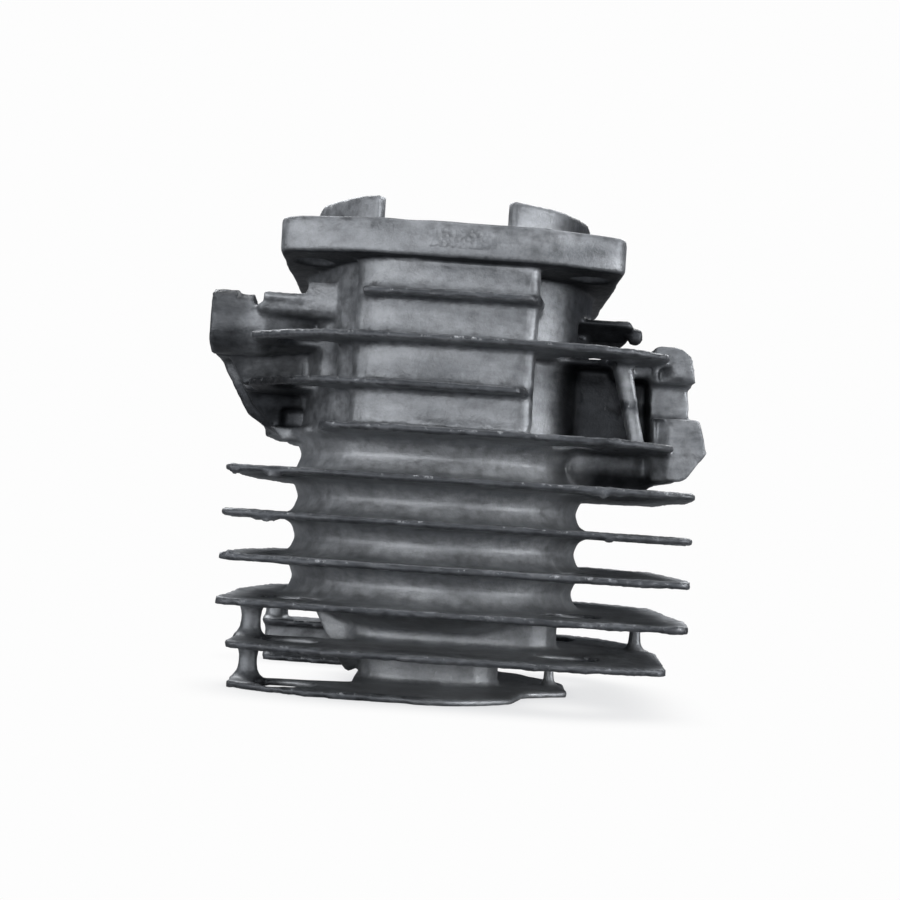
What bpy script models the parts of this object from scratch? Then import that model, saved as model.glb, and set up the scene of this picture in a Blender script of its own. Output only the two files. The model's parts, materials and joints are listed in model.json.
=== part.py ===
"""Two-stroke engine cylinder with an integral finned head, standing on its head, and its piston set.

Metres, +Z up. The bore axis is vertical: the combustion chamber is at the bottom and the crankcase
end is at the top. The exhaust is on +X, the intake on -X, and the gudgeon pin lies along Y.
All lengths below are millimetres; MM turns them into metres.
"""

import math

import bmesh
import bpy
from mathutils import Matrix, Vector

MM = 0.001

# ---- driving dimensions ------------------------------------------------------------------------
EXHAUST_FACE_X = 44.6  # outermost point of the exhaust flange, from the bore axis
INTAKE_FACE_X = -41.0  # intake flange face, from the bore axis
TOTAL_HEIGHT = 84.6

BORE_R = 22.5
STROKE = 32.0  # the piston's travel, up from the rest position
BARREL_R = 25.3
UPPER_BARREL_R = 26.0

FIN_LEVELS = [0.6, 7.8, 14.8, 21.9, 29.0, 36.2, 44.0, 51.2, 58.8, 66.2]  # mid-planes, bottom fin first
FIN_THICK = 1.2
ROOT_FILLET = 2.9

FLANGE_LOW = 72.1
FLANGE_TOP = 78.1
SKIRT_OUT_R = 25.0
SKIRT_GAP_LEFT = 32.0  # degrees from the front (-Y) towards -X
SKIRT_GAP_RIGHT = 23.0  # degrees from the front towards +X

BOLT_X = 23.5
BOLT_Y = 21.5
BOLT_HOLE_R = 3.0
ACCESS_HOLE_R = 5.2

SQUISH_Z = 24.0  # bottom end of the straight bore
PLUG_SEAT = (-17.9, 8.3)  # x and z of the middle of the spark plug seat
PLUG_TILT = math.radians(28.8)  # the plug axis points this far below the horizontal
PLUG_BOSS_R = 7.8
PLUG_HOLE_R = 5.9

EXHAUST_PORT_LOW = 44.8
EXHAUST_HALF_WIDTH = 8.6
EXHAUST_LEAN = math.tan(math.radians(11.0))  # the flange face leans back as it rises
EXHAUST_LUG_LOW = 38.9
EXHAUST_LUG_HIGH = 61.6
INTAKE_Z = 61.8
INTAKE_BOSS_Y = 12.6
STUD_HOLE_R = 2.1

PISTON_R = 22.2
PISTON_CROWN_Z = SQUISH_Z + 1.0  # at top dead centre, the rest position
PISTON_LENGTH = 35.0
RING_HEIGHTS = [7.4, 4.0]  # ring mid-planes, from the crown
RING_R = 22.34
RING_RADIAL = 1.6
RING_HIGH = 1.2
RING_SIDE_GAP = 0.2
RING_END_ANGLES = [158, 202]  # where each ring's ends meet its peg, from +X towards +Y
PEG_R = 0.7
PIN_Z = PISTON_CROWN_Z + 18.5
PIN_R = 5.5
PIN_BORE_R = 3.2
PIN_GAP = 0.25
PIN_LENGTH = 33.0
CLIP_R = 5.35
CLIP_WIRE_R = 0.5
CLIP_OPENING = 60.0  # degrees

ROUND_STEPS = 48
SIDES = (-1, 1)  # front and back

PORT_TOP = PISTON_CROWN_Z + STROKE - 1.4  # ports stand just clear of the crown at bottom dead centre
BORE_AXIS_X = -(EXHAUST_FACE_X + INTAKE_FACE_X) / 2  # puts the whole part's middle over the origin

# ---- a clean file ------------------------------------------------------------------------------
for old in list(bpy.data.objects):
    bpy.data.objects.remove(old, do_unlink=True)

parts = bpy.data.collections.new("engine_cylinder")
additions = bpy.data.collections.new("casting_additions")
cutters = bpy.data.collections.new("casting_cutters")
piston_bosses = bpy.data.collections.new("piston_bosses")
piston_cutters = bpy.data.collections.new("piston_cutters")
for collection in (parts, additions, cutters, piston_bosses, piston_cutters):
    bpy.context.scene.collection.children.link(collection)

bore_axis = bpy.data.objects.new("bore_axis", None)
bore_axis.location = (BORE_AXIS_X * MM, 0, 0)
parts.objects.link(bore_axis)


# ---- building blocks ---------------------------------------------------------------------------
def add_object(name, mesh, collection, parent=bore_axis):
    """Put a mesh in a collection, on the bore axis; anything outside the parts is a hidden tool."""
    made = bpy.data.objects.new(name, mesh)
    collection.objects.link(made)
    made.parent = parent
    if collection is not parts:
        made.hide_render = True
        made.display_type = "WIRE"
    return made


def block(name, collection, low, high, round_edges=0.0, steps=1):
    """A box between two corners, with its edges rounded or chamfered."""
    mesh = bpy.data.meshes.new(name)
    bm = bmesh.new()
    bmesh.ops.create_cube(bm, size=1.0)
    size = [(b - a) * MM for a, b in zip(low, high)]
    middle = [(a + b) / 2 * MM for a, b in zip(low, high)]
    bmesh.ops.scale(bm, vec=size, verts=bm.verts)
    bmesh.ops.translate(bm, vec=middle, verts=bm.verts)
    bm.to_mesh(mesh)
    bm.free()
    made = add_object(name, mesh, collection)
    if round_edges:
        bevel = made.modifiers.new("edges", "BEVEL")
        bevel.width = round_edges * MM
        bevel.segments = steps
        bevel.limit_method = "NONE"
    return made


def rod(name, collection, start, end, radius, end_radius=None, steps=24, parent=bore_axis):
    """A round bar or cone between two points."""
    start, end = Vector(start) * MM, Vector(end) * MM
    along = end - start
    turn = along.to_track_quat("Z", "Y").to_matrix().to_4x4()
    mesh = bpy.data.meshes.new(name)
    bm = bmesh.new()
    bmesh.ops.create_cone(
        bm,
        cap_ends=True,
        segments=steps,
        radius1=radius * MM,
        radius2=(radius if end_radius is None else end_radius) * MM,
        depth=along.length,
        matrix=Matrix.Translation((start + end) / 2) @ turn,
    )
    bm.to_mesh(mesh)
    bm.free()
    return add_object(name, mesh, collection, parent)


def turned(name, collection, profile, steps=ROUND_STEPS, parent=bore_axis):
    """A solid of revolution about Z; the profile of (radius, height) points runs down its outside."""
    mesh = bpy.data.meshes.new(name)
    points = [(r * MM, 0, z * MM) for r, z in profile]
    edges = [(i, i + 1) for i in range(len(points) - 1)]
    if profile[0][0] > 0:  # a section that stays clear of the axis is closed into a loop
        edges.append((len(points) - 1, 0))
    mesh.from_pydata(points, edges, [])
    made = add_object(name, mesh, collection, parent)
    screw = made.modifiers.new("turn", "SCREW")
    screw.steps = steps
    screw.render_steps = steps
    screw.use_merge_vertices = True
    screw.merge_threshold = 0.00001
    screw.use_smooth_shade = False
    return made


def rounded(corners, steps=4):
    """An outline from (x, y, corner radius) points, each corner replaced by an arc of that radius."""
    outline = []
    count = len(corners)
    for i, (x, y, radius) in enumerate(corners):
        here = Vector((x, y))
        if radius == 0:
            outline.append(here)
            continue
        before = (Vector(corners[i - 1][:2]) - here).normalized()
        after = (Vector(corners[(i + 1) % count][:2]) - here).normalized()
        half = before.angle(after) / 2
        reach = radius / math.tan(half)
        centre = here + (before + after).normalized() * (radius / math.sin(half))
        first = here + before * reach - centre
        last = here + after * reach - centre
        sweep = first.angle_signed(last)
        for step in range(steps + 1):
            outline.append(centre + Matrix.Rotation(-sweep * step / steps, 2) @ first)
    return outline


def plate(name, collection, outline, low, high):
    """A flat plate: an outline in X and Y, filled and given a thickness along Z."""
    curve = bpy.data.curves.new(name, "CURVE")
    curve.dimensions = "2D"
    curve.fill_mode = "BOTH"
    curve.extrude = (high - low) / 2 * MM
    spline = curve.splines.new("POLY")
    spline.points.add(len(outline) - 1)
    for point, (x, y) in zip(spline.points, outline):
        point.co = (x * MM, y * MM, 0, 1)
    spline.use_cyclic_u = True
    drawn = bpy.data.objects.new(name + "_curve", curve)
    parts.objects.link(drawn)
    bpy.context.view_layer.update()
    evaluated = drawn.evaluated_get(bpy.context.evaluated_depsgraph_get())
    mesh = bpy.data.meshes.new_from_object(evaluated)
    bpy.data.objects.remove(drawn, do_unlink=True)
    bm = bmesh.new()
    bm.from_mesh(mesh)
    bmesh.ops.remove_doubles(bm, verts=bm.verts, dist=0.00001)
    bmesh.ops.translate(bm, vec=(0, 0, (low + high) / 2 * MM), verts=bm.verts)
    bmesh.ops.recalc_face_normals(bm, faces=bm.faces)
    bm.to_mesh(mesh)
    bm.free()
    mesh.name = name
    return add_object(name, mesh, collection)


def side_plate(name, collection, outline, low, high):
    """A plate whose outline is drawn in X and Z, with its thickness from low to high along Y."""
    made = plate(name, collection, [(x, z) for x, z in outline], -high, -low)
    made.data.transform(Matrix.Rotation(math.radians(90), 4, "X"))
    return made


def boolean(target, operation, tools):
    """Join a collection of solids to the target, or cut them out of it."""
    change = target.modifiers.new(operation.lower(), "BOOLEAN")
    change.operation = operation
    change.solver = "EXACT"
    change.operand_type = "COLLECTION"
    change.collection = tools


def finish(made, material, sharp_angle=35.0):
    """Give a part its material, and shade its round faces smooth."""
    made.data.materials.append(material)
    made.data.shade_smooth()
    made.data.set_sharp_from_angle(angle=math.radians(sharp_angle))


def metal(name, colour, roughness, metallic=1.0):
    """A plain metal."""
    material = bpy.data.materials.new(name)
    material.use_nodes = True
    shader = material.node_tree.nodes["Principled BSDF"]
    shader.inputs["Base Color"].default_value = (*colour, 1)
    shader.inputs["Roughness"].default_value = roughness
    shader.inputs["Metallic"].default_value = metallic
    return material


cast_aluminium = metal("cast_aluminium", (0.30, 0.31, 0.33), 0.55)
piston_aluminium = metal("piston_aluminium", (0.55, 0.55, 0.56), 0.35)
ring_iron = metal("ring_iron", (0.18, 0.18, 0.19), 0.35)
pin_steel = metal("pin_steel", (0.55, 0.56, 0.58), 0.2)
spring_steel = metal("spring_steel", (0.20, 0.20, 0.21), 0.35)


# ---- the casting: barrel and head --------------------------------------------------------------
def barrel_profile():
    """Outside of the barrel, from the top down, with a round-bottomed groove between lower fins."""
    profile = [(0, FLANGE_TOP - 1), (UPPER_BARREL_R, FLANGE_TOP - 1)]
    profile.append((UPPER_BARREL_R, FIN_LEVELS[6]))
    profile.append((BARREL_R + ROOT_FILLET, FIN_LEVELS[6]))
    for upper, lower in zip(FIN_LEVELS[6:2:-1], FIN_LEVELS[5:1:-1]):
        top, bottom = upper - FIN_THICK / 4, lower + FIN_THICK / 4
        middle, half = (top + bottom) / 2, (top - bottom) / 2
        for step in range(5):
            angle = math.pi * step / 4
            radius = BARREL_R + ROOT_FILLET * (1 - math.sin(angle))
            profile.append((radius, middle + half * math.cos(angle)))
    profile.append((BARREL_R, FIN_LEVELS[2] - FIN_THICK / 4))
    profile.append((20.0, FIN_LEVELS[2] - 2.0))
    profile.append((15.5, FIN_LEVELS[2] - 4.0))
    profile.append((0, FIN_LEVELS[2] - 4.0))
    return profile


casting = turned("cylinder_casting", parts, barrel_profile())

# The head's middle under the lowest full fin: a stub, long from side to side, that narrows downwards.
plate("stub_low", additions, rounded([(-12, -10, 7), (13, -10, 7), (13, 10, 7), (-12, 10, 7)]), 0.5, 9)
STUB_HIGH = rounded([(-15, -12.5, 8), (23, -12.5, 8), (23, 12.5, 8), (-15, 12.5, 8)])
plate("stub_high", additions, STUB_HIGH, 8, 15)

# ---- the casting: fins -------------------------------------------------------------------------
FULL_FIN = rounded(
    [
        (-34.4, -33.6, 2.0),
        (-16, -36.6, 20),
        (26, -36.6, 20),
        (41.4, -33.4, 2.5),
        (43.6, -16, 8),
        (43.4, 24, 6),
        (34, 35.4, 8),
        (-18, 36.4, 12),
        (-31.5, 28, 7),
        (-34.8, 0, 12),
    ],
    steps=3,
)
LOWER_HEAD_FIN = rounded(
    [
        (-32.8, -31, 2.0),
        (-14, -35.8, 20),
        (24, -36.6, 20),
        (38.6, -31.6, 2.5),
        (41.6, 0, 10),
        (40.6, 22, 8),
        (31, 35.2, 8),
        (-33.6, 35.2, 3),
        (-33.6, 28, 2),
        (-13, 26, 3),
        (-13, -12.6, 3),
        (-32.6, -13.6, 2),
    ],
    steps=3,
)
BOTTOM_FIN = rounded(
    [
        (-33.1, -23, 2.0),
        (-20, -29.4, 12),
        (4, -31, 12),
        (14.4, -23, 4),
        (17.5, -11.4, 3),
        (25.4, -6, 3),
        (25.8, 8, 6),
        (14, 27, 8),
        (-10, 33, 8),
        (-33.2, 35.0, 3),
        (-33.2, 28, 2),
        (-13, 26, 3),
        (-13, -14.2, 3),
        (-32.8, -14.6, 2),
    ],
    steps=3,
)
TRANSFER_FIN = rounded(
    [
        (-33.0, -24, 3),
        (-22, -33.4, 14),
        (-8, -36.4, 12),
        (28, -36.4, 20),
        (37.5, -28, 6),
        (39.5, -14, 3),
        (39.5, 14, 3),
        (37.5, 28, 6),
        (28, 36.4, 20),
        (-8, 36.4, 12),
        (-22, 33.4, 14),
        (-33.0, 24, 3),
    ],
    steps=3,
)
MIDDLE_FIN = rounded(
    [
        (-33.3, -20, 3),
        (-23, -33, 12),
        (-8, -36.2, 12),
        (12, -36.2, 2),
        (14.4, -30, 0),
        (14.4, 30, 0),
        (12, 36.2, 2),
        (-8, 36.2, 12),
        (-23, 33, 12),
        (-33.3, 20, 3),
    ],
    steps=3,
)
EXHAUST_FIN = rounded(
    [
        (-32.4, 2, 3),
        (-21, -21, 4),
        (-19.4, -34, 3),
        (-8, -36.6, 12),
        (30, -36.6, 20),
        (40, -27, 5),
        (41.6, -12, 3),
        (41.6, 12, 3),
        (40, 27, 5),
        (30, 36.6, 20),
        (-8, 36.6, 12),
        (-19.4, 34, 3),
        (-21, 21, 4),
        (-32.4, 18, 3),
    ],
    steps=3,
)
SHORT_FIN = rounded(
    [
        (-14.2, -34.4, 0),
        (14, -36.2, 3),
        (15.6, -28, 0),
        (15.6, 28, 0),
        (14, 36.2, 3),
        (-14.2, 34.4, 0),
    ],
    steps=3,
)

fin_outlines = [BOTTOM_FIN, LOWER_HEAD_FIN, FULL_FIN, FULL_FIN, FULL_FIN, FULL_FIN, EXHAUST_FIN, MIDDLE_FIN]
fin_outlines += [TRANSFER_FIN, SHORT_FIN]
for number, (level, outline) in enumerate(zip(FIN_LEVELS, fin_outlines)):
    plate(f"fin_{number + 1}", additions, outline, level - FIN_THICK / 2, level + FIN_THICK / 2)

# Posts that tie the lowest fins together, and the thick lug at the far side of the plug notch.
rod("post_left", additions, (-30.2, -17.4, 0.4), (-30.2, -17.4, 14.6), 1.45, steps=12)
rod("post_right_high", additions, (38.4, 5.5, 7.6), (38.4, 5.5, 14.6), 1.05, steps=12)
rod("post_right_low", additions, (22.6, 2.2, 0.4), (22.6, 2.2, 7.6), 0.95, steps=12)
block("notch_lug", additions, (-33.0, 29.2, 0.3), (-17.4, 34.4, 8.6), 0.8)
block("notch_lug_post", additions, (-33.2, 29.6, 7.6), (-28.8, 34.0, 14.6), 1.2)

# ---- the casting: transfer passages, front and back ---------------------------------------------
for side in SIDES:
    wall_y = sorted((side * 20, side * 32.2))
    bulge_low, bulge_high = (-11.6, wall_y[0], FIN_LEVELS[6] - 0.2), (14.6, wall_y[1], FLANGE_LOW + 1)
    block(f"transfer_bulge_{side}", additions, bulge_low, bulge_high, 2.2, 2)
    shoulder_y = sorted((side * 18, side * 29.4))
    shoulder_low = (-15.2, shoulder_y[0], FIN_LEVELS[6] - 0.1)
    shoulder_high = (0, shoulder_y[1], FLANGE_LOW + 1)
    block(f"transfer_shoulder_{side}", additions, shoulder_low, shoulder_high, 1.2)

# ---- the casting: crankcase flange and skirts ---------------------------------------------------
BASE_FLANGE = rounded(
    [
        (-28.6, -29.8, 3.2),
        (-14, -34.0, 24),
        (14, -34.0, 24),
        (28.6, -29.8, 3.2),
        (29.4, 28.0, 6),
        (14, 34.0, 24),
        (-14, 34.0, 24),
        (-29.4, 28.0, 6),
    ],
    steps=4,
)
plate("base_flange", additions, BASE_FLANGE, FLANGE_LOW, FLANGE_TOP)


def wall_outline(first, last, outer, inner, steps):
    """A curved wall between two angles round the bore, measured from +X, and between two radii."""
    outline = []
    for radius, order in ((outer, range(steps + 1)), (inner, range(steps, -1, -1))):
        for step in order:
            angle = math.radians(first + (last - first) * step / steps)
            outline.append((radius * math.cos(angle), radius * math.sin(angle)))
    return outline


for name, first, last in (
    ("skirt_exhaust", -90 + SKIRT_GAP_RIGHT, 90 - SKIRT_GAP_RIGHT),
    ("skirt_intake", 90 + SKIRT_GAP_LEFT, 270 - SKIRT_GAP_LEFT),
):
    skirt = wall_outline(first, last, SKIRT_OUT_R, BORE_R - 2, 14)
    plate(name, additions, skirt, FLANGE_LOW + 2, TOTAL_HEIGHT)

# ---- the casting: exhaust side -----------------------------------------------------------------
def exhaust_face_x(z):
    """Distance of the leaning exhaust face from the bore axis."""
    return EXHAUST_FACE_X - (z - FIN_LEVELS[6]) * EXHAUST_LEAN


lug_top_x = exhaust_face_x(EXHAUST_LUG_HIGH)
flange_side = [
    (lug_top_x - 6.4, EXHAUST_LUG_HIGH, 1.0),
    (lug_top_x, EXHAUST_LUG_HIGH, 3.4),
    (EXHAUST_FACE_X, FIN_LEVELS[6], 0),
    (EXHAUST_FACE_X - 3.4, EXHAUST_LUG_LOW, 2.4),
    (EXHAUST_FACE_X - 8.4, EXHAUST_LUG_LOW, 0),
]
side_plate("exhaust_flange", additions, rounded(flange_side, steps=3), -23.0, 23.0)
block("exhaust_duct", additions, (18, -12, 40.6), (40.5, 12, 59.6), 4.0, 3)
for side in SIDES:
    rib_side = [(28.2, 58.6), (30.0, 58.6), (33.9, 43.9), (32.1, 43.9)]
    side_plate(f"exhaust_rib_{side}", additions, rib_side, *sorted((side * 18.5, side * 22.4)))
    web_y = sorted((side * 8, side * 21.2))
    block(f"exhaust_web_{side}", additions, (28.9, web_y[0], 56.4), (38.6, web_y[1], 58.9), 0.4)

# The small ledge with a round nub, between the crankcase flange and the fin below it.
block("ledge_right", additions, (18, -11.5, 63.8), (32.6, 11.5, 67.2), 0.8)
rod("nub_right", additions, (32.0, -9.0, 65.0), (34.5, -9.0, 65.0), 1.5, 1.2, steps=12)

# ---- the casting: intake side ------------------------------------------------------------------
intake_plate = [(-17, 56.5, 4), (17, 56.5, 4), (17, 67.6, 3), (-17, 67.6, 3)]
intake_flange = plate("intake_flange", additions, rounded(intake_plate), -INTAKE_FACE_X - 4.2, -INTAKE_FACE_X)
intake_flange.data.transform(Matrix(((0, 0, -1, 0), (1, 0, 0, 0), (0, 1, 0, 0), (0, 0, 0, 1))))
intake_flange.data.flip_normals()
gusset = [
    (-40.8, 67.2),
    (-37.4, 67.2),
    (-34.0, 65.4),
    (-18.0, 66.5),
    (-18.0, 42.2),
    (-28.0, 42.2),
    (-34.0, 48.5),
    (-40.8, 60.5),
]
side_plate("intake_gusset", additions, gusset, -9.6, 9.6)
for side in SIDES:
    y = side * INTAKE_BOSS_Y
    rod(f"intake_boss_{side}", additions, (-40.7, y, INTAKE_Z), (-31, y, INTAKE_Z), 5.4, steps=20)
    boss_end, boss_tip = (-31.2, y, INTAKE_Z), (-24, y, INTAKE_Z - 2)
    rod(f"intake_boss_end_{side}", additions, boss_end, boss_tip, 5.2, 2.4, steps=20)
    cheek_y = sorted((side * 14, side * 24.5))
    cheek_low, cheek_high = (-25.0, cheek_y[0], 63.0), (-16, cheek_y[1], FLANGE_LOW + 1)
    block(f"channel_cheek_{side}", additions, cheek_low, cheek_high, 2.0, 2)
block("ledge_left", additions, (-33, -20, 63.2), (-16, 20, 66.8), 0.9)

# ---- the casting: spark plug boss --------------------------------------------------------------
plug_out = Vector((-math.cos(PLUG_TILT), 0, -math.sin(PLUG_TILT)))
plug_seat = Vector((PLUG_SEAT[0], 0, PLUG_SEAT[1]))
rod("plug_boss", additions, plug_seat - plug_out * 13, plug_seat, PLUG_BOSS_R, steps=24)

# ---- the casting: what is cut away -------------------------------------------------------------
chamber = [
    (0, TOTAL_HEIGHT + 2),
    (BORE_R, TOTAL_HEIGHT + 2),
    (BORE_R, SQUISH_Z),
    (16.0, SQUISH_Z - 1.2),
    (13.2, SQUISH_Z - 4.0),
    (8.5, SQUISH_Z - 6.8),
    (0, SQUISH_Z - 8.0),
]
turned("bore_and_chamber", cutters, chamber, steps=64)
rod("plug_hole", cutters, plug_seat + plug_out * 6, plug_seat - plug_out * 15.5, PLUG_HOLE_R, steps=24)

for x in (-BOLT_X, BOLT_X):
    for y in (-BOLT_Y, BOLT_Y):
        corner = f"{x:.0f}_{y:.0f}"
        hole_low, hole_high = (x, y, FLANGE_LOW - 1), (x, y, FLANGE_TOP + 1)
        rod(f"bolt_hole_{corner}", cutters, hole_low, hole_high, BOLT_HOLE_R, steps=16)
        rod(f"access_hole_{corner}", cutters, (x, y, -1), (x, y, FIN_LEVELS[8] + 3), ACCESS_HOLE_R, steps=20)

block(
    "exhaust_passage",
    cutters,
    (10, -EXHAUST_HALF_WIDTH, EXHAUST_PORT_LOW),
    (50, EXHAUST_HALF_WIDTH, PORT_TOP),
    3.0,
    3,
)
block("intake_passage", cutters, (-50, -7.6, INTAKE_Z - 3.8), (-10, 7.6, INTAKE_Z + 4.2), 2.6, 3)
for side in SIDES:
    channel_y = sorted((side * 25.2, side * 29.8))
    channel_low, channel_high = (-8.6, channel_y[0], 47.2), (11.6, channel_y[1], FLANGE_TOP + 2)
    block(f"transfer_channel_{side}", cutters, channel_low, channel_high)
    window_y = sorted((side * 15, side * 28.4))
    block(f"transfer_window_{side}", cutters, (-8.0, window_y[0], 47.8), (11.0, window_y[1], PORT_TOP))
    rod(f"exhaust_waist_{side}", cutters, (34.5, side * 26, 52.8), (48, side * 26, 51.6), 5.0)
    stud_inner, stud_outer = (40, side * 15.6, 50.9), (47, side * 15.6, 49.6)
    rod(f"exhaust_stud_{side}", cutters, stud_inner, stud_outer, STUD_HOLE_R, steps=12)
    y = side * INTAKE_BOSS_Y
    rod(f"intake_stud_{side}", cutters, (-44, y, INTAKE_Z), (-33, y, INTAKE_Z), STUD_HOLE_R, steps=12)

boolean(casting, "UNION", additions)
boolean(casting, "DIFFERENCE", cutters)
finish(casting, cast_aluminium)

# ---- the piston --------------------------------------------------------------------------------
# The piston's parts are built about the pin axis, which is their joint's axis.
piston_origin = bpy.data.objects.new("piston_origin", None)
piston_origin.parent = bore_axis
piston_origin.location = (0, 0, PIN_Z * MM)
parts.objects.link(piston_origin)

crown = PISTON_CROWN_Z - PIN_Z
skirt_end = crown + PISTON_LENGTH
groove_floor_r = PISTON_R - RING_RADIAL - 0.5


def piston_profile():
    """Half section of the piston: up its hollow inside, then down its outside past the ring grooves."""
    inside = [(0, crown + 5.2), (17.0, crown + 8.6), (20.0, crown + 13), (20.0, skirt_end)]
    outside = [(PISTON_R, skirt_end)]
    half_groove = RING_HIGH / 2 + RING_SIDE_GAP
    for height in RING_HEIGHTS:
        top, bottom = crown + height + half_groove, crown + height - half_groove
        outside += [(PISTON_R, top), (groove_floor_r, top), (groove_floor_r, bottom), (PISTON_R, bottom)]
    return inside + outside + [(PISTON_R - 0.2, crown + 0.8), (14.0, crown + 0.2), (0, crown)]


piston = turned("piston", parts, piston_profile(), parent=piston_origin)
for side in SIDES:
    rod(f"pin_boss_{side}", piston_bosses, (0, side * 9.4, 0), (0, side * 20.6, 0), 7.8, parent=piston_origin)
    arch_y = sorted((side * 14, side * 24))
    arch_low, arch_high = (-8.5, arch_y[0], skirt_end - 7), (8.5, arch_y[1], skirt_end + 1)
    arch = block(f"skirt_arch_{side}", piston_cutters, arch_low, arch_high)
    arch.parent = piston_origin
    clip_y = side * (PIN_LENGTH / 2 + 1.0)
    rod(
        f"clip_groove_{side}",
        piston_cutters,
        (0, clip_y - 0.8, 0),
        (0, clip_y + 0.8, 0),
        PIN_R + 0.75,
        steps=24,
        parent=piston_origin,
    )
rod("pin_hole", piston_cutters, (0, -24, 0), (0, 24, 0), PIN_R + PIN_GAP, steps=32, parent=piston_origin)


def around(angle, radius, height):
    """A point at an angle round the bore from +X, in millimetres."""
    return (radius * math.cos(math.radians(angle)), radius * math.sin(math.radians(angle)), height)


for name, height, angle in zip(("upper", "lower"), RING_HEIGHTS, RING_END_ANGLES):
    middle = crown + height
    rod(
        f"peg_hole_{name}",
        piston_cutters,
        around(angle, groove_floor_r - 2.4, middle),
        around(angle, groove_floor_r + 1.0, middle),
        PEG_R + 0.2,
        steps=12,
        parent=piston_origin,
    )
    peg = rod(
        f"ring_peg_{name}",
        parts,
        around(angle, groove_floor_r - 2.0, middle),
        around(angle, PISTON_R - 0.5, middle),
        PEG_R,
        steps=12,
        parent=piston_origin,
    )
    finish(peg, pin_steel)
    half_gap = math.degrees((PEG_R + 0.4) / RING_R)
    ring_outline = wall_outline(angle + half_gap, angle + 360 - half_gap, RING_R, RING_R - RING_RADIAL, 60)
    ring = plate(f"piston_ring_{name}", parts, ring_outline, middle - RING_HIGH / 2, middle + RING_HIGH / 2)
    ring.parent = piston_origin
    finish(ring, ring_iron)

boolean(piston, "UNION", piston_bosses)
boolean(piston, "DIFFERENCE", piston_cutters)
finish(piston, piston_aluminium)

# ---- the gudgeon pin and its circlips ----------------------------------------------------------
pin_profile = [(PIN_R - 0.5, PIN_LENGTH / 2), (PIN_R, PIN_LENGTH / 2 - 0.5), (PIN_R, -PIN_LENGTH / 2 + 0.5)]
pin_profile += [(PIN_R - 0.5, -PIN_LENGTH / 2), (PIN_BORE_R, -PIN_LENGTH / 2), (PIN_BORE_R, PIN_LENGTH / 2)]
pin = turned("gudgeon_pin", parts, pin_profile, steps=32, parent=piston_origin)
pin.rotation_euler = (math.radians(90), 0, 0)
finish(pin, pin_steel)


def circlip(name, y):
    """An open ring of spring wire that lies in a groove at one end of the pin hole."""
    curve = bpy.data.curves.new(name, "CURVE")
    curve.dimensions = "3D"
    curve.bevel_depth = CLIP_WIRE_R * MM
    curve.bevel_resolution = 2
    curve.use_fill_caps = True
    spline = curve.splines.new("POLY")
    steps = 24
    spline.points.add(steps)
    for step, point in enumerate(spline.points):
        angle = math.radians(CLIP_OPENING / 2 + (360 - CLIP_OPENING) * step / steps - 90)
        point.co = (CLIP_R * math.cos(angle) * MM, 0, CLIP_R * math.sin(angle) * MM, 1)
    clip = bpy.data.objects.new(name, curve)
    parts.objects.link(clip)
    clip.parent = piston_origin
    clip.location = (0, y * MM, 0)
    curve.materials.append(spring_steel)


circlip("circlip_front", -(PIN_LENGTH / 2 + 1.0))
circlip("circlip_back", PIN_LENGTH / 2 + 1.0)
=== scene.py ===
"""The looks of a two-stroke engine cylinder with an integral finned head, and of the piston in its bore."""

import json
import math

import bmesh
import bpy
import numpy as np
from mathutils import Matrix, Vector
from mathutils.bvhtree import BVHTree

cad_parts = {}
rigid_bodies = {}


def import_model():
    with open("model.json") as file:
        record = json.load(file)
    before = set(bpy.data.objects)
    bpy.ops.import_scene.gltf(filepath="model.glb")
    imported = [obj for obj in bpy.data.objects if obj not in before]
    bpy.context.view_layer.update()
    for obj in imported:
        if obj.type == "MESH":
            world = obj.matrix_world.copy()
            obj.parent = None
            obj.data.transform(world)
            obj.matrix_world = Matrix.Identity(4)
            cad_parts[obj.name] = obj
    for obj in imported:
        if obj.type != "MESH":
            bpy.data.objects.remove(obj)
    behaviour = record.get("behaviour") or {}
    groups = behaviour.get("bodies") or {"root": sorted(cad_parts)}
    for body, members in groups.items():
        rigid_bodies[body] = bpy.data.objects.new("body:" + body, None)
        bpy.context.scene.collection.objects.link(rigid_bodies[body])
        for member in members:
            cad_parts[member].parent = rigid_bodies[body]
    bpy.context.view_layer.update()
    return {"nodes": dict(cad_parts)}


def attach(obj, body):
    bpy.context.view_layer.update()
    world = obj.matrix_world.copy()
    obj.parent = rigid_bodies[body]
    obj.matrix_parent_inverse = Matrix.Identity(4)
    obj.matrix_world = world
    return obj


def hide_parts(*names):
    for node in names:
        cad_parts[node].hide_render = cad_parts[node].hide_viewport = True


for leftover in list(bpy.data.objects):
    bpy.data.objects.remove(leftover, do_unlink=True)

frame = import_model()

# ---- camera --------------------------------------------------------------------------------------
# The cylinder is looked at from the side of its transfer passage, level with the middle fins and
# from about a quarter of a metre. The camera is tilted up a little and held a few degrees off level.
bore_x = -0.0018  # the bore axis stands this far from the middle of the whole part
camera = bpy.data.objects.new("camera", bpy.data.cameras.new("camera"))
bpy.context.scene.collection.objects.link(camera)
camera.data.sensor_width = 36.0
camera.data.lens = 58.35
camera.data.clip_start = 0.01
camera.matrix_world = (
    Matrix.Translation((bore_x, -0.267, 0.0286))
    @ Matrix.Rotation(math.radians(-0.38), 4, "Z")
    @ Matrix.Rotation(math.radians(93.085), 4, "X")
    @ Matrix.Rotation(math.radians(3.8), 4, "Z")
)
bpy.context.scene.camera = camera

# ---- floor and studio light ----------------------------------------------------------------------
# A pale paper sweep that the camera sees as evenly lit, with a painted contact shadow where the part
# stands on it, in a dim room. Soft panels light the part: one in front, one at each side, one above,
# and two high up behind.
bpy.context.scene.view_settings.view_transform = "Standard"


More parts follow.
